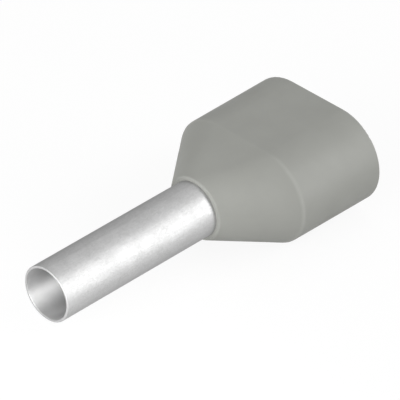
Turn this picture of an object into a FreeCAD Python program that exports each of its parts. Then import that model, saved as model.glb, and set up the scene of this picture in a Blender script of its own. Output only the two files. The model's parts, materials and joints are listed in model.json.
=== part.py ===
"""Twin wire ferrule: a drawn, flared crimp sleeve held in a moulded insulating collar.

The ferrule lies on the flat underside of its collar. The sleeve's axis is parallel to X, its tip points
to -X and the wires go in from +X. Y is the wide direction of the collar and Z is up. The origin is on
the floor, under the middle of the ferrule.

Each piece is first built along its own X axis with the tip of the sleeve at X = 0, which makes every
station below a distance from the tip, and its Placement then sets it in the frame of the ferrule.
"""

import FreeCAD, Part

import math
import os

import Sketcher

doc = FreeCAD.newDocument("twin_wire_ferrule")

# ---------------------------------------------------------------------------------------------------
# Driving dimensions, in millimetres and degrees
# ---------------------------------------------------------------------------------------------------

DIMENSIONS = [
    # the crimp sleeve, a thin drawn tube
    ("sleeve_diameter", 3.70),
    ("sleeve_wall", 0.18),
    ("tip_rounding", 0.05),  # the outer edge of the tip, where the tube was cut off and tumbled
    ("tip_chamfer", 0.04),  # the inner edge of the tip, reamed clean
    ("exposed_length", 12.35),  # straight tube, from the tip to the neck of the collar
    ("flare_length", 1.50),  # along the axis, bend included, all of it inside the collar
    ("flare_angle", 20.0),
    ("flare_bend", 2.40),  # radius of the bend, on the outside of the tube
    # the outside of the collar
    ("neck_diameter", 4.20),
    ("neck_rounding", 0.12),
    ("taper_length", 4.10),  # from the neck to the shoulder
    ("collar_width", 10.60),  # at the shoulder
    ("collar_height", 6.30),  # at the shoulder
    ("shoulder_rounding", 0.30),
    ("skirt_length", 6.55),  # from the shoulder to the mouth
    ("draft_angle", 0.40),  # the skirt widens towards the mouth, so that it leaves its mould
    ("mouth_rounding", 0.12),
    # the inside of the collar
    ("collar_wall", 0.40),
    ("throat_ledge", 0.06),  # the funnel starts this far outside the rim of the flare
    ("entry_chamfer", 0.12),  # lead-in on the inner edge of the mouth
    ("split_flat", 0.02),  # straight that splits a round section into two half circles
]

# Sizes that follow from the ones above. They are cells too, so the whole model hangs on the sheet.
DERIVED = [
    ("sleeve_radius", "=sleeve_diameter / 2"),
    ("flare_end", "=exposed_length + flare_length"),
    ("bend_length", "=flare_bend * sin(flare_angle * 1deg)"),
    ("bend_rise", "=flare_bend * (1 - cos(flare_angle * 1deg))"),
    ("cone_rise", "=(flare_length - bend_length) * tan(flare_angle * 1deg)"),
    ("flare_radius", "=sleeve_radius + bend_rise + cone_rise"),
    ("neck_radius", "=neck_diameter / 2"),
    ("shoulder_at", "=exposed_length + taper_length"),
    ("shoulder_radius", "=collar_height / 2"),
    ("collar_straight", "=collar_width - collar_height"),
    ("mouth_at", "=shoulder_at + skirt_length"),
    ("mouth_radius", "=shoulder_radius + skirt_length * tan(draft_angle * 1deg)"),
    ("opening_radius", "=mouth_radius - collar_wall"),
]

sheet = doc.addObject("Spreadsheet::Sheet", "Sizes")
for row, (alias, content) in enumerate(DIMENSIONS + DERIVED, start=1):
    sheet.set(f"A{row}", alias)
    sheet.set(f"B{row}", str(content))
    sheet.setAlias(f"B{row}", alias)
doc.recompute()


def size(alias):
    """The number in a cell of the sheet, for a first drawing or to find an edge by its place."""
    return float(sheet.get(alias))


# ---------------------------------------------------------------------------------------------------
# Helpers: bodies, sketches and edges
# ---------------------------------------------------------------------------------------------------

# The sketcher's own numbers for the points of a line or an arc, and for the origin and the axes.
START, END, CENTRE = 1, 2, 3
ORIGIN = (-1, START)
HORIZONTAL_AXIS, VERTICAL_AXIS = -1, -2

QUARTER_TURN = math.pi / 2


def new_body(label):
    """A body whose Placement lifts its X axis to where the collar's mouth touches the floor."""
    body = doc.addObject("PartDesign::Body", label)
    body.Label = label
    body.setExpression("Placement.Base.x", "-Sizes.mouth_at / 2")
    body.setExpression("Placement.Base.z", "Sizes.mouth_radius")
    return body


def new_sketch(body, name, plane, station=None):
    """A sketch on one of the body's origin planes, or parallel to it at a station along its normal."""
    sketch = body.newObject("Sketcher::SketchObject", name)
    planes = [item for item in body.Origin.OriginFeatures if item.Role == plane]
    sketch.AttachmentSupport = [(planes[0], "")]
    sketch.MapMode = "FlatFace"
    if station:
        sketch.setExpression("AttachmentOffset.Base.z", station)
    return sketch


def line(sketch, start, end):
    """A line between two (x, y) points, and its number in the sketch."""
    return sketch.addGeometry(Part.LineSegment(FreeCAD.Vector(*start, 0), FreeCAD.Vector(*end, 0)))


def arc(sketch, centre, radius, start_angle, end_angle):
    """An arc that runs anticlockwise between two angles, and its number in the sketch."""
    circle = Part.Circle(FreeCAD.Vector(*centre, 0), FreeCAD.Vector(0, 0, 1), radius)
    return sketch.addGeometry(Part.ArcOfCircle(circle, start_angle, end_angle))


def relate(sketch, *relations):
    """Constraints with no size, each a tuple of its kind and what it holds."""
    for relation in relations:
        sketch.addConstraint(Sketcher.Constraint(*relation))


def dimension(sketch, name, formula, kind, *targets):
    """A named dimension of a sketch, bound to a formula over the sheet."""
    value = sketch.evalExpression(formula)
    index = sketch.addConstraint(Sketcher.Constraint(kind, *targets, value))
    sketch.renameConstraint(index, name)
    sketch.setExpression(f"Constraints.{name}", formula)


def section_edges(feature, station, straight, radius):
    """Names of a feature's edges that lie on the oval section of these sizes at this station.

    With no straight the section is a circle round the axis.
    """
    tolerance = 0.002
    names = []
    for number, edge in enumerate(feature.Shape.Edges, start=1):
        points = edge.discretize(5)
        radii = [math.hypot(max(abs(p.y) - straight / 2, 0.0), p.z) for p in points]
        at_station = all(abs(p.x - station) < tolerance for p in points)
        on_outline = all(abs(found - radius) < tolerance for found in radii)
        if at_station and on_outline:
            names.append(f"Edge{number}")
    return names


def dress(body, kind, name, base, edges, formula):
    """A fillet or chamfer on edges of the feature base, its size bound to the sheet."""
    feature = body.newObject(f"PartDesign::{kind}", name)
    feature.Base = (base, edges)
    feature.setExpression("Radius" if kind == "Fillet" else "Size", formula)
    doc.recompute()
    return feature


def sleeve_outline(sketch, start):
    """The sleeve's outer surface from the station start to the rim of its flare: tube, bend and cone.

    The sleeve and its seat in the collar both draw it, so the two pieces meet face to face.
    """
    radius = size("sleeve_radius")
    bend_at = size("exposed_length")
    bend = size("flare_bend")
    end_angle = math.radians(size("flare_angle")) - QUARTER_TURN
    cone_start = (bend_at + size("bend_length"), radius + size("bend_rise"))
    tube = line(sketch, (start, radius), (bend_at, radius))
    curve = arc(sketch, (bend_at, radius + bend), bend, -QUARTER_TURN, end_angle)
    cone = line(sketch, cone_start, (size("flare_end"), size("flare_radius")))
    relate(
        sketch,
        ("Horizontal", tube),
        ("Tangent", tube, END, curve, START),
        ("Tangent", curve, END, cone, START),
    )
    dimension(sketch, "tube_radius", "Sizes.sleeve_radius", "DistanceY", *ORIGIN, tube, END)
    dimension(sketch, "bend_station", "Sizes.exposed_length", "DistanceX", *ORIGIN, tube, END)
    dimension(sketch, "bend_radius", "Sizes.flare_bend", "Radius", curve)
    dimension(sketch, "rim_station", "Sizes.flare_end", "DistanceX", *ORIGIN, cone, END)
    dimension(sketch, "rim_radius", "Sizes.flare_radius", "DistanceY", *ORIGIN, cone, END)
    return tube, curve, cone


def oval_section(body, name, station, straight, radius):
    """A section across the axis: two half circles joined by two straights that lie along Y.

    A round section is the same drawing with a hair of straight. Its four edges then pair with the four
    edges of the oval that it is lofted to, so each half circle runs out to a half circle.
    """
    sketch = new_sketch(body, name, "YZ_Plane", station)
    half = sketch.evalExpression(straight) / 2
    rise = sketch.evalExpression(radius)
    top = line(sketch, (half, rise), (-half, rise))
    left = arc(sketch, (-half, 0), rise, QUARTER_TURN, 3 * QUARTER_TURN)
    bottom = line(sketch, (-half, -rise), (half, -rise))
    right = arc(sketch, (half, 0), rise, -QUARTER_TURN, QUARTER_TURN)
    relate(
        sketch,
        ("Tangent", top, END, left, START),
        ("Tangent", left, END, bottom, START),
        ("Tangent", bottom, END, right, START),
        ("Tangent", right, END, top, START),
        ("Equal", left, right),
        ("Symmetric", left, CENTRE, right, CENTRE, *ORIGIN),
        ("Horizontal", top),
    )
    dimension(sketch, "end_radius", radius, "Radius", right)
    dimension(sketch, "straight_length", straight, "DistanceX", top, END, top, START)
    return sketch


def ruled_loft(body, kind, name, *sections):
    """A loft through sections, straight from each one to the next."""
    loft = body.newObject(f"PartDesign::{kind}", name)
    loft.Profile = sections[0]
    loft.Sections = list(sections[1:])
    loft.Ruled = True
    doc.recompute()
    return loft


def turned(body, kind, name, sketch):
    """A full turn of a sketch about its horizontal axis, which is the axis of the sleeve."""
    feature = body.newObject(f"PartDesign::{kind}", name)
    feature.Profile = sketch
    feature.ReferenceAxis = (sketch, ["H_Axis"])
    feature.Angle = 360.0
    doc.recompute()
    return feature


# ---------------------------------------------------------------------------------------------------
# The crimp sleeve: one drawn tube, deburred at its tip and flared at the end that the collar holds
# ---------------------------------------------------------------------------------------------------


def make_crimp_sleeve():
    body = new_body("crimp_sleeve")

    # Half a section through the wall. The metal bends round one centre, so both of its surfaces do.
    sketch = new_sketch(body, "WallSection", "XZ_Plane")
    wall = size("sleeve_wall")
    inner = size("sleeve_radius") - wall
    bend_at = size("exposed_length")
    angle = math.radians(size("flare_angle"))
    inner_bend = size("flare_bend") + wall
    bend_centre = (bend_at, inner + inner_bend)
    rim = (size("flare_end"), size("flare_radius"))
    rim_inside = (rim[0] + wall * math.sin(angle), rim[1] - wall * math.cos(angle))
    cone_start = (bend_at + inner_bend * math.sin(angle), bend_centre[1] - inner_bend * math.cos(angle))
    outside, bend_outside, cone_outside = sleeve_outline(sketch, 0.0)
    rim_face = line(sketch, rim, rim_inside)
    cone_inside = line(sketch, rim_inside, cone_start)
    bend_inside = arc(sketch, bend_centre, inner_bend, -QUARTER_TURN, angle - QUARTER_TURN)
    inside = line(sketch, (bend_at, inner), (0.0, inner))
    tip_face = line(sketch, (0.0, inner), (0.0, inner + wall))
    relate(
        sketch,
        ("Coincident", cone_outside, END, rim_face, START),
        ("Coincident", rim_face, END, cone_inside, START),
        ("Tangent", cone_inside, END, bend_inside, END),
        ("Tangent", bend_inside, START, inside, START),
        ("Coincident", inside, END, tip_face, START),
        ("Coincident", tip_face, END, outside, START),
        ("Coincident", bend_inside, CENTRE, bend_outside, CENTRE),
        ("Parallel", cone_inside, cone_outside),
        ("Perpendicular", rim_face, cone_outside),
        ("Horizontal", inside),
        ("Vertical", tip_face),
        ("PointOnObject", outside, START, VERTICAL_AXIS),
    )
    dimension(sketch, "wall_thickness", "Sizes.sleeve_wall", "Distance", tip_face)
    tube = turned(body, "Revolution", "DrawnTube", sketch)

    outer_edge = section_edges(tube, 0.0, 0.0, inner + wall)
    rounded = dress(body, "Fillet", "TipRounding", tube, outer_edge, "Sizes.tip_rounding")
    inner_edge = section_edges(rounded, 0.0, 0.0, inner)
    dress(body, "Chamfer", "TipChamfer", rounded, inner_edge, "Sizes.tip_chamfer")
    return body


# ---------------------------------------------------------------------------------------------------
# The insulating collar: one moulding, round at the neck and oval from the shoulder to the mouth
# ---------------------------------------------------------------------------------------------------


def make_insulating_collar():
    body = new_body("insulating_collar")
    straight = "Sizes.collar_straight"
    round_section = "Sizes.split_flat"

    # Outside. Straight rulings from the neck to the shoulder give a flat facet above and one below,
    # and a slanted cone at each side that runs into them with no crease.
    neck = oval_section(body, "Neck", "Sizes.exposed_length", round_section, "Sizes.neck_radius")
    shoulder = oval_section(body, "Shoulder", "Sizes.shoulder_at", straight, "Sizes.shoulder_radius")
    mouth = oval_section(body, "Mouth", "Sizes.mouth_at", straight, "Sizes.mouth_radius")
    outside = ruled_loft(body, "AdditiveLoft", "Outside", neck, shoulder, mouth)

    # Inside. The funnel leads the strands of both wires from the oval skirt into the flared sleeve.
    throat_radius = "Sizes.flare_radius + Sizes.throat_ledge"
    funnel_radius = "Sizes.shoulder_radius - Sizes.collar_wall"
    throat = oval_section(body, "Throat", "Sizes.flare_end", round_section, throat_radius)
    funnel = oval_section(body, "Funnel", "Sizes.shoulder_at", straight, funnel_radius)
    opening = oval_section(body, "Opening", "Sizes.mouth_at", straight, "Sizes.opening_radius")
    cavity = ruled_loft(body, "SubtractiveLoft", "FunnelAndSkirt", throat, funnel, opening)

    # The seat of the sleeve, drawn from in front of the neck so that the cut leaves no skin there.
    sketch = new_sketch(body, "SleeveSeat", "XZ_Plane")
    cut_start = size("exposed_length") - size("flare_length")
    cut_end = size("flare_end")
    tube, _, cone = sleeve_outline(sketch, cut_start)
    end_face = line(sketch, (cut_end, size("flare_radius")), (cut_end, 0.0))
    axis = line(sketch, (cut_end, 0.0), (cut_start, 0.0))
    start_face = line(sketch, (cut_start, 0.0), (cut_start, size("sleeve_radius")))
    relate(
        sketch,
        ("Coincident", cone, END, end_face, START),
        ("Coincident", end_face, END, axis, START),
        ("Coincident", axis, END, start_face, START),
        ("Coincident", start_face, END, tube, START),
        ("Vertical", end_face),
        ("Vertical", start_face),
        ("PointOnObject", axis, START, HORIZONTAL_AXIS),
        ("PointOnObject", axis, END, HORIZONTAL_AXIS),
    )
    dimension(sketch, "lead_in", "Sizes.flare_length", "DistanceX", tube, START, tube, END)
    seat = turned(body, "Groove", "SleeveSeatCut", sketch)
    if not seat.Shape.Volume < cavity.Shape.Volume < outside.Shape.Volume:
        raise RuntimeError("a cut in the collar took nothing away")

    # The edges, from the neck to the mouth.
    flat = size("collar_straight")
    neck_edges = section_edges(seat, size("exposed_length"), size("split_flat"), size("neck_radius"))
    rounded = dress(body, "Fillet", "NeckRounding", seat, neck_edges, "Sizes.neck_rounding")
    shoulder_edges = section_edges(rounded, size("shoulder_at"), flat, size("shoulder_radius"))
    rounded = dress(body, "Fillet", "ShoulderRounding", rounded, shoulder_edges, "Sizes.shoulder_rounding")
    mouth_edges = section_edges(rounded, size("mouth_at"), flat, size("mouth_radius"))
    rounded = dress(body, "Fillet", "MouthRounding", rounded, mouth_edges, "Sizes.mouth_rounding")
    entry_edges = section_edges(rounded, size("mouth_at"), flat, size("opening_radius"))
    dress(body, "Chamfer", "EntryChamfer", rounded, entry_edges, "Sizes.entry_chamfer")
    return body


# ---------------------------------------------------------------------------------------------------
# Build, check and write
# ---------------------------------------------------------------------------------------------------

pieces = [make_crimp_sleeve(), make_insulating_collar()]
doc.recompute()

for item in doc.Objects:
    if "Invalid" in item.State or "Error" in item.State:
        raise RuntimeError(f"{item.Name} failed: {item.State}")
for piece in pieces:
    if piece.Shape.isNull() or not piece.Shape.isValid() or len(piece.Shape.Solids) != 1:
        raise RuntimeError(f"{piece.Label} is not one valid solid")

os.makedirs("parts", exist_ok=True)
for piece in pieces:
    piece.Shape.exportStep(f"parts/{piece.Label}.step")
    print(f"{piece.Label}: {piece.Shape.Volume:.2f} mm3")
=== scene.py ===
# %% [markdown]
# # Twin wire ferrule
# A twin wire ferrule ends two stranded wires in one terminal. The real one is two pieces: a thin
# drawn tube of tin-plated copper, which is crimped on the strands, and a moulded plastic collar,
# which takes the insulation of both wires side by side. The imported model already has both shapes
# in their real size, so this lesson gives them their finishes, a floor, soft lamps and a camera.

import json
import math

import bpy
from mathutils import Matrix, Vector


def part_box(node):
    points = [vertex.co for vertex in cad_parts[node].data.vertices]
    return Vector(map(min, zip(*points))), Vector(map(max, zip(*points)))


MM = 0.001

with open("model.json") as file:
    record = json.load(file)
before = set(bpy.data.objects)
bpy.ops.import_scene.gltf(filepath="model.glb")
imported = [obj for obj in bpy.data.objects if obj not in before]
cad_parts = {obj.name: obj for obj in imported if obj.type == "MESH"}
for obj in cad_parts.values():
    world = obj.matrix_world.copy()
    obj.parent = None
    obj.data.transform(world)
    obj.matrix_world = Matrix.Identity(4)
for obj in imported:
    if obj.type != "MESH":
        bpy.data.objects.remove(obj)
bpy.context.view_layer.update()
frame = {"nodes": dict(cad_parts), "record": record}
slot_names = [material["slot"] for material in frame["record"]["materials"]]
print("nodes:", sorted(frame["nodes"]), "| material slots:", slot_names)

# %% [markdown]
# ## Where things are
# Both pieces share one axis, which runs along X at half the height of the tube. The tube's cut tip
# is the lowest X, and the collar's mouth is the highest. In between are the neck, where the collar
# begins, and the shoulder, where its taper first reaches nearly the full width. These places are
# read from the model, so that the finishes still land on the right edges if it is ever made longer
# or wider.

# %% Measure the pieces
sleeve = frame["nodes"]["crimp_sleeve"]
collar = frame["nodes"]["insulating_collar"]
sleeve_low, sleeve_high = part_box("crimp_sleeve")
collar_low, collar_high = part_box("insulating_collar")

axis_height = (sleeve_low.z + sleeve_high.z) / 2
tip_at = sleeve_low.x
neck_at = collar_low.x
mouth_at = collar_high.x
middle = Vector(((tip_at + mouth_at) / 2, 0, axis_height))

NEARLY_FULL_WIDTH = 0.985
wide = NEARLY_FULL_WIDTH * collar_high.y
shoulder_at = min(point.co.x for point in collar.data.vertices if point.co.y > wide)

edges_at = (tip_at, neck_at, shoulder_at, mouth_at)
print("tip, neck, shoulder and mouth, mm:", [round(x / MM, 2) for x in edges_at])
print("axis height, mm:", round(axis_height / MM, 3))

# %% [markdown]
# ## Camera
# The ferrule is seen from its tip, its side and its top alike, from far off through a long lens,
# so that its parallel edges stay nearly parallel. A near camera with a short lens would swell the
# tip and shrink the collar. The aim is a little to the right of the middle and above it, because
# the wide collar needs more room in the frame than the thin tube.

# %% Camera
CAMERA_TURN = -45
CAMERA_RISE = 35.264
CAMERA_DISTANCE = 307.1 * MM
LENS_MM = 458.9
AIM_RIGHT = 0.925 * MM
AIM_UP = 0.865 * MM
NEAR_CLIP = 10 * MM


def direction(turn, rise):
    """The unit vector away from the ferrule: turn goes round it, and rise goes up from level."""
    turn, rise = math.radians(turn), math.radians(rise)
    level = math.cos(rise)
    return Vector((math.sin(turn) * level, -math.cos(turn) * level, math.sin(rise)))


to_camera = direction(CAMERA_TURN, CAMERA_RISE)
camera_right = direction(CAMERA_TURN + 90, 0)
camera_up = to_camera.cross(camera_right)

camera_data = bpy.data.cameras.new("camera")
camera_data.lens = LENS_MM
camera_data.clip_start = NEAR_CLIP
camera = bpy.data.objects.new("camera", camera_data)
aim = middle + AIM_RIGHT * camera_right + AIM_UP * camera_up
camera.location = aim + CAMERA_DISTANCE * to_camera
camera.rotation_euler = (math.radians(90 - CAMERA_RISE), 0, math.radians(CAMERA_TURN))
bpy.context.scene.collection.objects.link(camera)
bpy.context.scene.camera = camera
print("camera, mm:", [round(c / MM, 1) for c in camera.location])

# %% [markdown]
# ## Shader helpers
# A material is a small tree of nodes. Built with plain calls, each node takes four or five lines,
# and the idea of the material is lost. Two helpers keep it readable: one adds a node and fills in
# its sockets, and the other starts a node group, which is an effect that several materials share.


# %% Helpers for nodes and groups
def add_node(tree, kind, inputs=None, **options):
    """Adds a shader node. An input that is another node's output is linked. Any other is set."""
    node = tree.nodes.new("ShaderNode" + kind)
    for option, value in options.items():
        setattr(node, option, value)
    for socket, value in (inputs or {}).items():
        if isinstance(value, bpy.types.NodeSocket):
            tree.links.new(value, node.inputs[socket])
        else:
            node.inputs[socket].default_value = value
    return node


def math_node(tree, operation, first, second=0.0):
    """One step of arithmetic on two values."""
    return add_node(tree, "Math", {0: first, 1: second}, operation=operation).outputs[0]


def start_group(name, inputs, outputs):
    """A new node group. inputs and outputs map the names of sockets to types, such as Float."""
    tree = bpy.data.node_groups.new(name, "ShaderNodeTree")
    for in_out, sockets in (("INPUT", inputs), ("OUTPUT", outputs)):
        for socket_name, kind in sockets.items():
            tree.interface.new_socket(
                name=socket_name, in_out=in_out, socket_type="NodeSocket" + kind
            )
    given = tree.nodes.new("NodeGroupInput").outputs
    result = tree.nodes.new("NodeGroupOutput").inputs
    return tree, given, result


def use_group(tree, group, **inputs):
    """Places a group in a tree. Its inputs are named here with _ for a space."""
    node = add_node(tree, "Group", node_tree=group)
    for socket, value in inputs.items():
        socket = node.inputs[socket.replace("_", " ")]
        if isinstance(value, bpy.types.NodeSocket):
            tree.links.new(value, socket)
        else:
            socket.default_value = value
    return node.outputs


# %% [markdown]
# ## Shared effect: the place on the part
# Wear, painted highlights and painted shade depend on where a point is: at a cut end, at a joint,
# or inside a bore. This group gives the position in millimetres, the distance along the axis, how
# far round towards the sides the point is (0 above and below the axis, 1 beside it), and a mask
# that is 1 on walls that face the axis. The mask compares the surface's normal with the direction
# away from the axis, so it needs no list of faces and holds on any round part.

# %% Group: place on the part
FACES_IN_FROM, FACES_IN_FULLY = -0.2, -0.5

place_group, given, result = start_group(
    "place on the part",
    {"Axis Height": "Float"},
    {"Position": "Vector", "Along": "Float", "Aside": "Float", "Inner Wall": "Float"},
)
coordinates = add_node(place_group, "TexCoord").outputs["Object"]
position = add_node(
    place_group, "VectorMath", {0: coordinates, "Scale": 1 / MM}, operation="SCALE"
).outputs[0]
parts = add_node(place_group, "SeparateXYZ", {0: position}).outputs
above_axis = math_node(place_group, "SUBTRACT", parts["Z"], given["Axis Height"])
outward = add_node(place_group, "CombineXYZ", {"X": 0.0, "Y": parts["Y"], "Z": above_axis})
outward = add_node(
    place_group, "VectorMath", {0: outward.outputs[0]}, operation="NORMALIZE"
).outputs[0]
outward_parts = add_node(place_group, "SeparateXYZ", {0: outward}).outputs
aside = math_node(place_group, "ABSOLUTE", outward_parts["Y"])
normal = add_node(place_group, "NewGeometry").outputs["Normal"]
facing_out = add_node(
    place_group, "VectorMath", {0: outward, 1: normal}, operation="DOT_PRODUCT"
).outputs["Value"]
inner_wall = add_node(
    place_group,
    "MapRange",
    {"Value": facing_out, "From Min": FACES_IN_FROM, "From Max": FACES_IN_FULLY},
)
place_group.links.new(position, result["Position"])
place_group.links.new(parts["X"], result["Along"])
place_group.links.new(aside, result["Aside"])
place_group.links.new(inner_wall.outputs[0], result["Inner Wall"])
print("group:", place_group.name)

# %% [markdown]
# ## Shared effect: edge band
# Every edge of this ferrule lies in a plane across its axis: the tip, the neck, the shoulder and
# the mouth. So a soft band round such a plane finds the edge. Blender's Pointiness would also find
# edges, but it reads the mesh's vertices, and the long facets of a CAD mesh smear it.

# %% Group: edge band
band_group, given, result = start_group(
    "edge band",
    {"Along": "Float", "Edge": "Float", "Reach": "Float"},
    {"Mask": "Float"},
)
offset = math_node(band_group, "SUBTRACT", given["Along"], given["Edge"])
offset = math_node(band_group, "ABSOLUTE", offset)
mask = add_node(
    band_group,
    "MapRange",
    {"Value": offset, "From Min": 0.0, "From Max": given["Reach"], "To Min": 1.0, "To Max": 0.0},
    interpolation_type="SMOOTHSTEP",
)
band_group.links.new(mask.outputs[0], result["Mask"])
print("group:", band_group.name)

# %% [markdown]
# ## Shared effect: clouds
# No plated or moulded surface is one even colour. Tin dulls in patches, and the pigment of a
# plastic settles in faint clouds as it flows into the mould. Both are the same slow noise with a
# different size in millimetres, so they share one group, which puts out a value from 0 to 1. Noise
# seldom leaves its middle range, so that range is stretched to the whole of 0 to 1.

# %% Group: clouds
NOISE_LOW, NOISE_HIGH = 0.3, 0.7

cloud_group, given, result = start_group(
    "clouds", {"Position": "Vector", "Size": "Float"}, {"Value": "Float"}
)
scale = math_node(cloud_group, "DIVIDE", 1.0, given["Size"])
noise = add_node(
    cloud_group,
    "TexNoise",
    {"Vector": given["Position"], "Scale": scale, "Detail": 3.0, "Roughness": 0.55},
)
value = add_node(
    cloud_group,
    "MapRange",
    {"Value": noise.outputs[0], "From Min": NOISE_LOW, "From Max": NOISE_HIGH},
)
cloud_group.links.new(value.outputs[0], result["Value"])
print("group:", cloud_group.name)

# %% [markdown]
# ## Shared effect: fine relief
# The last scale of detail is relief finer than a hair. On the collar it is the even grain that the
# eroded steel of the mould leaves. On the tube it is the fine lines that the drawing die pulls
# along it, and the short strokes of its tumbling. A line is a grain that is stretched, so one group
# makes them all. Grain is its width in millimetres. Stretch squeezes the coordinates along X before
# the noise reads them. Swirl bends the grain as a stroke bends, and at zero leaves it even.

# %% Group: fine relief
relief_group, given, result = start_group(
    "fine relief",
    {"Position": "Vector", "Grain": "Float", "Stretch": "Float", "Swirl": "Float"},
    {"Height": "Float"},
)
squeeze = math_node(relief_group, "DIVIDE", 1.0, given["Stretch"])
squeeze = add_node(relief_group, "CombineXYZ", {"X": squeeze, "Y": 1.0, "Z": 1.0}).outputs[0]
stretched = add_node(
    relief_group, "VectorMath", {0: given["Position"], 1: squeeze}, operation="MULTIPLY"
).outputs[0]
scale = math_node(relief_group, "DIVIDE", 1.0, given["Grain"])
noise = add_node(
    relief_group,
    "TexNoise",
    {
        "Vector": stretched,
        "Scale": scale,
        "Detail": 2.0,
        "Roughness": 0.5,
        "Distortion": given["Swirl"],
    },
)
relief_group.links.new(noise.outputs[0], result["Height"])
print("group:", relief_group.name)

# %% [markdown]
# ## Two more helpers
# A finish is mostly mixing: this colour where the mask is 0, that one where it is 1. One helper
# mixes colours and the other mixes plain numbers, such as two roughnesses. The mix node has sockets
# of the same name for each kind of data, so they are told apart by number.


# %% Helpers for mixing
MASK_IN = 0
VALUE_ZERO_IN, VALUE_ONE_IN, VALUE_OUT = 2, 3, 0
COLOUR_ZERO_IN, COLOUR_ONE_IN, COLOUR_OUT = 6, 7, 2


def mix_colour(tree, mask, zero, one):
    """The colour zero where the mask is 0, and the colour one where it is 1."""
    inputs = {MASK_IN: mask, COLOUR_ZERO_IN: zero, COLOUR_ONE_IN: one}
    return add_node(tree, "Mix", inputs, data_type="RGBA").outputs[COLOUR_OUT]


def mix_value(tree, mask, zero, one):
    """The number zero where the mask is 0, and the number one where it is 1."""
    inputs = {MASK_IN: mask, VALUE_ZERO_IN: zero, VALUE_ONE_IN: one}
    return add_node(tree, "Mix", inputs, data_type="FLOAT").outputs[VALUE_OUT]


# %% [markdown]
# ## Finish: drawn and tin-plated copper
# The tube is drawn through a die, cut to length and plated with tin in a tumbling barrel. It is a
# soft, satin grey and not a mirror. Fine lines from the die run along it, the tin dulls in patches,
# and the tumbling leaves short, wavy strokes. All of it is noise with a different grain, stretch
# and swirl, so two groups make it. The strokes bend the normal first and the finer lines after
# them, because strokes that only changed the colour would not feather the edges of the bright
# streak. A low edge tint darkens the metal where it turns away from the eye, as dull tin does.

# %% Material: tinned copper
TIN_DULL = (0.50, 0.50, 0.50, 1)
TIN_BRIGHT = (0.74, 0.74, 0.74, 1)
TIN_RIM = (0.60, 0.60, 0.60, 1)
TIN_EDGE_TINT = (0.2, 0.2, 0.2, 1)
TIN_ROUGH_DULL, TIN_ROUGH_BRIGHT = 0.66, 0.46
TIN_PATCH_SIZE = 1.4
RIM_REACH = 0.07
LINE_SHARE = 0.5
STROKE_SHARE = 0.6
STROKES = {"Grain": 0.20, "Stretch": 1.5, "Swirl": 1.5}
LINES = {"Grain": 0.10, "Stretch": 45.0}
HAIRLINES = {"Grain": 0.03, "Stretch": 80.0}
STROKE_DEPTH = 0.018 * MM
LINE_DEPTH = 0.002 * MM
LINE_STRENGTH = 0.5
LINES_TO_HAIRLINES = 2.0

tinned_copper = bpy.data.materials.new("tinned copper")
tinned_copper.use_nodes = True
tree = tinned_copper.node_tree
place = use_group(tree, place_group, Axis_Height=axis_height / MM)
spot = place["Position"]
patches = use_group(tree, cloud_group, Position=spot, Size=TIN_PATCH_SIZE)["Value"]
strokes = use_group(tree, relief_group, Position=spot, **STROKES)["Height"]
lines = use_group(tree, relief_group, Position=spot, **LINES)["Height"]
hairlines = use_group(tree, relief_group, Position=spot, **HAIRLINES)["Height"]
rim = use_group(
    tree, band_group, Along=place["Along"], Edge=tip_at / MM, Reach=RIM_REACH
)["Mask"]

slow = mix_value(tree, LINE_SHARE, patches, lines)
brightness = mix_value(tree, STROKE_SHARE, slow, strokes)
colour = mix_colour(tree, brightness, TIN_DULL, TIN_BRIGHT)
colour = mix_colour(tree, rim, colour, TIN_RIM)
roughness = mix_value(tree, brightness, TIN_ROUGH_DULL, TIN_ROUGH_BRIGHT)
wavy = add_node(tree, "Bump", {"Height": strokes, "Strength": 1.0, "Distance": STROKE_DEPTH})
deep_lines = math_node(tree, "MULTIPLY", lines, LINES_TO_HAIRLINES)
drawn = math_node(tree, "ADD", deep_lines, hairlines)
bump = add_node(
    tree,
    "Bump",
    {
        "Height": drawn,
        "Strength": LINE_STRENGTH,
        "Distance": LINE_DEPTH,
        "Normal": wavy.outputs[0],
    },
)

shader = tree.nodes["Principled BSDF"]
tree.links.new(colour, shader.inputs["Base Color"])
tree.links.new(roughness, shader.inputs["Roughness"])
tree.links.new(bump.outputs[0], shader.inputs["Normal"])
shader.inputs["Metallic"].default_value = 1.0
shader.inputs["Specular Tint"].default_value = TIN_EDGE_TINT
sleeve.material_slots[0].material = tinned_copper
print("nodes in", tinned_copper.name, ":", len(tree.nodes))

# %% [markdown]
# ## Finish: the bore of the tube
# Nothing rubs the inside, so its tin is more matt than the outside, and its grey is paler than the
# outside's. Further in from the tip the grey is painted darker: painted shade for the light that
# the narrow bore keeps out. The tool that opens the flare leaves fine rings, and rings throw the
# shine along the tube and not round it. The shader's anisotropy does that, with a tangent that runs
# round the axis and a quarter turn from it. Only the bore has it, so the faces that look at the
# axis get a material of their own. The mesh keeps its shape.

# %% Material: tinned bore
# The deep grey is painted shade: further in from the tip, the bore's colour darkens towards it.
BORE_PAINTED_SHADE = (0.60, 0.60, 0.60, 1)
BORE_DULL = (0.74, 0.74, 0.74, 1)
BORE_BRIGHT = (0.82, 0.82, 0.82, 1)
BORE_EDGE_TINT = (0.05, 0.05, 0.05, 1)
BORE_ROUGH_DULL, BORE_ROUGH_BRIGHT = 0.76, 0.70
BORE_PATCH_SIZE = 1.0
PAINTED_SHADE_REACH = 3.0
RINGS = {"Grain": 1.5, "Stretch": 0.03}
RING_DEPTH = 0.002 * MM
RING_STRENGTH = 0.5
RING_SPREAD = 0.95
QUARTER_TURN = 0.25

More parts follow.
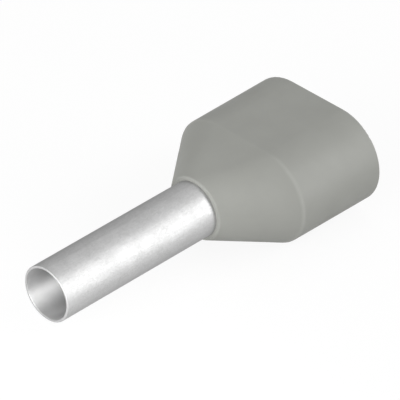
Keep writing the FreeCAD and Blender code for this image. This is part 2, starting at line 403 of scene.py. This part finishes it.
tinned_bore = bpy.data.materials.new("tinned bore")
tinned_bore.use_nodes = True
tree = tinned_bore.node_tree
place = use_group(tree, place_group, Axis_Height=axis_height / MM)
spot = place["Position"]
patches = use_group(tree, cloud_group, Position=spot, Size=BORE_PATCH_SIZE)["Value"]
rings = use_group(tree, relief_group, Position=spot, **RINGS)["Height"]
clear_of_painted_shade = use_group(
    tree, band_group, Along=place["Along"], Edge=tip_at / MM, Reach=PAINTED_SHADE_REACH
)["Mask"]
colour = mix_colour(tree, patches, BORE_DULL, BORE_BRIGHT)
# Painted shade: deeper in the bore, the colour is mixed towards the deep grey.
colour = mix_colour(tree, clear_of_painted_shade, BORE_PAINTED_SHADE, colour)
roughness = mix_value(tree, patches, BORE_ROUGH_DULL, BORE_ROUGH_BRIGHT)
bump = add_node(
    tree, "Bump", {"Height": rings, "Strength": RING_STRENGTH, "Distance": RING_DEPTH}
)
round_axis = add_node(tree, "Tangent", direction_type="RADIAL", axis="X").outputs[0]

shader = tree.nodes["Principled BSDF"]
tree.links.new(colour, shader.inputs["Base Color"])
tree.links.new(roughness, shader.inputs["Roughness"])
tree.links.new(bump.outputs[0], shader.inputs["Normal"])
tree.links.new(round_axis, shader.inputs["Tangent"])
shader.inputs["Metallic"].default_value = 1.0
shader.inputs["Specular Tint"].default_value = BORE_EDGE_TINT
shader.inputs["Anisotropic"].default_value = RING_SPREAD
shader.inputs["Anisotropic Rotation"].default_value = QUARTER_TURN
print("nodes in", tinned_bore.name, ":", len(tree.nodes))

# %% [markdown]
# ## Which faces are the bore
# A face of the bore looks at the axis, and a face of the outside looks away from it. The cut ring
# at the tip looks along it, and stays with the outside. So the sign of one product sorts them.

# %% Give the bore its faces
LOOKS_INWARD = -0.5

sleeve.data.materials.append(tinned_bore)
bore_slot = len(sleeve.data.materials) - 1
bore_faces = 0
for face in sleeve.data.polygons:
    outward = Vector((0, face.center.y, face.center.z - axis_height)).normalized()
    if face.normal.dot(outward) < LOOKS_INWARD:
        face.material_index = bore_slot
        bore_faces += 1
print("faces in the bore:", bore_faces, "of", len(sleeve.data.polygons))

# %% [markdown]
# ## Finish: moulded grey plastic
# The collar is moulded in one shot, in a warm grey that stands for the wire size. Its skin is
# smooth but not glossy: a fine grain from the mould breaks the shine, and the pigment clouds a
# little. The edge of the mouth, which rubs in the bag, is a touch lighter. The neck and the
# shoulder carry painted highlights, lighter bands of colour along their edges. On the shoulder the
# painted highlight is strongest where it rounds at the sides and faint on its flats. The inside has
# less shine, because the core that forms it is left as machined.

# %% Material: grey plastic
PLASTIC_DEEP = (0.336, 0.340, 0.316, 1)
PLASTIC_PALE = (0.352, 0.356, 0.332, 1)
PLASTIC_EDGE_WEAR_AND_HIGHLIGHT = (0.395, 0.399, 0.374, 1)
PLASTIC_ROUGH_DEEP, PLASTIC_ROUGH_PALE = 0.54, 0.48
PLASTIC_GLOSS = 0.35
INSIDE_ROUGH = 0.62
PIGMENT_SIZE = 2.2
MOULD_GRAIN = {"Grain": 0.07, "Stretch": 1.0}
GRAIN_DEPTH = 0.004 * MM
GRAIN_STRENGTH = 0.6
NECK_REACH, SHOULDER_REACH, MOUTH_REACH = 0.09, 0.20, 0.12
# The neck and shoulder bands are painted highlights; only the mouth's band is wear.
NECK_PAINTED_HIGHLIGHT, SHOULDER_PAINTED_HIGHLIGHT, FLAT_PAINTED_HIGHLIGHT, MOUTH_WEAR = 0.45, 1.0, 0.1, 0.6
ROUNDED_FROM, ROUNDED_FULLY = 0.6, 0.85

grey_plastic = bpy.data.materials.new("grey plastic")
grey_plastic.use_nodes = True
tree = grey_plastic.node_tree
place = use_group(tree, place_group, Axis_Height=axis_height / MM)
spot = place["Position"]
pigment = use_group(tree, cloud_group, Position=spot, Size=PIGMENT_SIZE)["Value"]
grain = use_group(tree, relief_group, Position=spot, **MOULD_GRAIN)["Height"]

rounded = add_node(
    tree,
    "MapRange",
    {"Value": place["Aside"], "From Min": ROUNDED_FROM, "From Max": ROUNDED_FULLY},
).outputs[0]
# The shoulder's painted highlight is full on its rounded sides and faint on its flats.
shoulder_painted_highlight = mix_value(tree, rounded, FLAT_PAINTED_HIGHLIGHT, SHOULDER_PAINTED_HIGHLIGHT)
edge_wear_and_painted_highlight = 0.0
for edge, reach, band_strength_wear_and_highlight in (
    (neck_at, NECK_REACH, NECK_PAINTED_HIGHLIGHT),
    (shoulder_at, SHOULDER_REACH, shoulder_painted_highlight),
    (mouth_at, MOUTH_REACH, MOUTH_WEAR),
):
    band = use_group(tree, band_group, Along=place["Along"], Edge=edge / MM, Reach=reach)
    this_band_wear_and_highlight = math_node(tree, "MULTIPLY", band["Mask"], band_strength_wear_and_highlight)
    edge_wear_and_painted_highlight = math_node(tree, "MAXIMUM", this_band_wear_and_highlight, edge_wear_and_painted_highlight)

colour = mix_colour(tree, pigment, PLASTIC_DEEP, PLASTIC_PALE)
colour = mix_colour(tree, edge_wear_and_painted_highlight, colour, PLASTIC_EDGE_WEAR_AND_HIGHLIGHT)
roughness = mix_value(tree, pigment, PLASTIC_ROUGH_DEEP, PLASTIC_ROUGH_PALE)
roughness = mix_value(tree, place["Inner Wall"], roughness, INSIDE_ROUGH)
bump = add_node(
    tree, "Bump", {"Height": grain, "Strength": GRAIN_STRENGTH, "Distance": GRAIN_DEPTH}
)

shader = tree.nodes["Principled BSDF"]
tree.links.new(colour, shader.inputs["Base Color"])
tree.links.new(roughness, shader.inputs["Roughness"])
tree.links.new(bump.outputs[0], shader.inputs["Normal"])
shader.inputs["Specular IOR Level"].default_value = PLASTIC_GLOSS
collar.material_slots[0].material = grey_plastic
print("nodes in", grey_plastic.name, ":", len(tree.nodes))

# %% [markdown]
# ## Floor
# The ferrule lies on a plain pale floor, as on a light table. Far out, the floor turns up in a
# curve, as a studio's paper sweep does, so that a low view shows no horizon. The lamps alone would
# have to be far too strong to bring it to white, and they would bleach the collar as well. So what
# the camera and the metal see is mostly the floor's own white, and the rest is the lit floor,
# which keeps the soft shadow. Light Path tells the kinds of ray apart.

# %% Floor
FLAT_REACH = 520 * MM
SWEEP_RADIUS = 120 * MM
FLOOR_DROP = 0.01 * MM
ROUND_STEPS = 96
SWEEP_STEPS = 12


def sweep_ring(distance, height):
    """One ring of the floor's corners, round the ferrule."""
    turns = [2 * math.pi * step / ROUND_STEPS for step in range(ROUND_STEPS)]
    return [(distance * math.cos(t), distance * math.sin(t), height) for t in turns]


floor_points = [(0, 0, -FLOOR_DROP)]
for step in range(SWEEP_STEPS + 1):
    bend = math.pi / 2 * step / SWEEP_STEPS
    distance = FLAT_REACH + SWEEP_RADIUS * math.sin(bend)
    height = SWEEP_RADIUS * (1 - math.cos(bend)) - FLOOR_DROP
    floor_points += sweep_ring(distance, height)

floor_faces = []
for place_on_ring in range(ROUND_STEPS):
    following = (place_on_ring + 1) % ROUND_STEPS
    floor_faces.append((0, 1 + place_on_ring, 1 + following))
    for step in range(SWEEP_STEPS):
        inner, outer = 1 + step * ROUND_STEPS, 1 + (step + 1) * ROUND_STEPS
        floor_faces.append(
            (inner + place_on_ring, outer + place_on_ring, outer + following, inner + following)
        )

floor_mesh = bpy.data.meshes.new("floor")
floor_mesh.from_pydata(floor_points, [], floor_faces)
floor_mesh.polygons.foreach_set("use_smooth", [True] * len(floor_faces))
floor = bpy.data.objects.new("floor", floor_mesh)
bpy.context.scene.collection.objects.link(floor)
print("floor: flat to", round(FLAT_REACH / MM), "mm, then up", round(SWEEP_RADIUS / MM), "mm")

# %% [markdown]
# ## Finish: the floor's white
# The lit floor is a matt mid grey, so that little light bounces up under the ferrule. Its own white
# is a little over 1 to make up for that grey, and together they come to just under white. The metal
# mirrors the same white, but two thirds of it, because all of it would bleach the tube's underside.

# %% Material: pale floor
FLOOR_COLOUR = (0.5, 0.5, 0.5, 1)
FLOOR_ROUGH = 0.9
OWN_WHITE = 0.8
WHITE_STRENGTH = 1.13
REFLECTED_SHARE = 0.64

pale_floor = bpy.data.materials.new("pale floor")
pale_floor.use_nodes = True
tree = pale_floor.node_tree
lit = tree.nodes["Principled BSDF"]
lit.inputs["Base Color"].default_value = FLOOR_COLOUR
lit.inputs["Roughness"].default_value = FLOOR_ROUGH
glow = add_node(tree, "Emission", {"Color": (1, 1, 1, 1), "Strength": WHITE_STRENGTH}).outputs[0]
path = add_node(tree, "LightPath").outputs
reflected = math_node(tree, "MULTIPLY", path["Is Glossy Ray"], REFLECTED_SHARE)
seen = math_node(tree, "MAXIMUM", path["Is Camera Ray"], path["Is Transmission Ray"])
seen = math_node(tree, "MAXIMUM", seen, reflected)
share = math_node(tree, "MULTIPLY", seen, OWN_WHITE)
both = add_node(tree, "MixShader", {0: share, 1: lit.outputs[0], 2: glow}).outputs[0]
tree.links.new(both, tree.nodes["Material Output"].inputs["Surface"])
floor_mesh.materials.append(pale_floor)
print("nodes in", pale_floor.name, ":", len(tree.nodes))

# %% [markdown]
# ## Light
# A metal tube shows the lamps themselves, drawn out along it, so each panel stands where the tube
# mirrors it to the right place. Two key panels stand to the right, low and high, and put the broad
# streak on the tube and the sheen on the collar's rounded side. The top panel and a weak one behind
# light the tube's upper side, and two panels beside the tip light the slopes of the collar. The
# bore is narrow and deep, so it takes a small panel close to the tip: a far one that is strong
# enough for the bore would bleach the collar. The even grey of the world does the rest. Under the
# view transform Standard, a colour shows as it is written.

# %% Lamps
PANEL_DISTANCE = 300 * MM
BORE_PANEL_DISTANCE = 22 * MM
PANELS = (
    # name, turn, rise, width and height in mm, power in watts
    ("key low", 37, 8, 150, 76, 0.228),
    ("key high", 54, 30, 150, 150, 0.338),
    ("side low", -120, 14, 150, 110, 0.15),
    ("side high", -84, 28, 150, 120, 0.20),
    ("back", 140, 25, 120, 90, 0.028),
    ("top", 110, 62, 180, 180, 0.09),
)
WORLD_GREY = (0.37, 0.37, 0.37, 1)


def panel(name, turn, rise, width, height, power, distance=PANEL_DISTANCE, aim=middle):
    """A rectangular lamp that faces its aim and isn't seen: sizes in metres, power in watts."""
    data = bpy.data.lights.new(name, "AREA")
    data.shape = "RECTANGLE"
    data.size = width
    data.size_y = height
    data.energy = power
    lamp = bpy.data.objects.new(name, data)
    towards = direction(turn, rise)
    lamp.location = aim + distance * towards
    lamp.rotation_euler = towards.to_track_quat("Z", "Y").to_euler()
    lamp.visible_camera = False
    bpy.context.scene.collection.objects.link(lamp)


tip = Vector((tip_at, 0, axis_height))
panel("bore", -62, 12, 20 * MM, 12 * MM, 0.0058, distance=BORE_PANEL_DISTANCE, aim=tip)
for name, turn, rise, width, height, power in PANELS:
    panel(name, turn, rise, width * MM, height * MM, power)

world = bpy.data.worlds.new("studio")
world.use_nodes = True
world.node_tree.nodes["Background"].inputs["Color"].default_value = WORLD_GREY
bpy.context.scene.world = world
bpy.context.scene.view_settings.view_transform = "Standard"
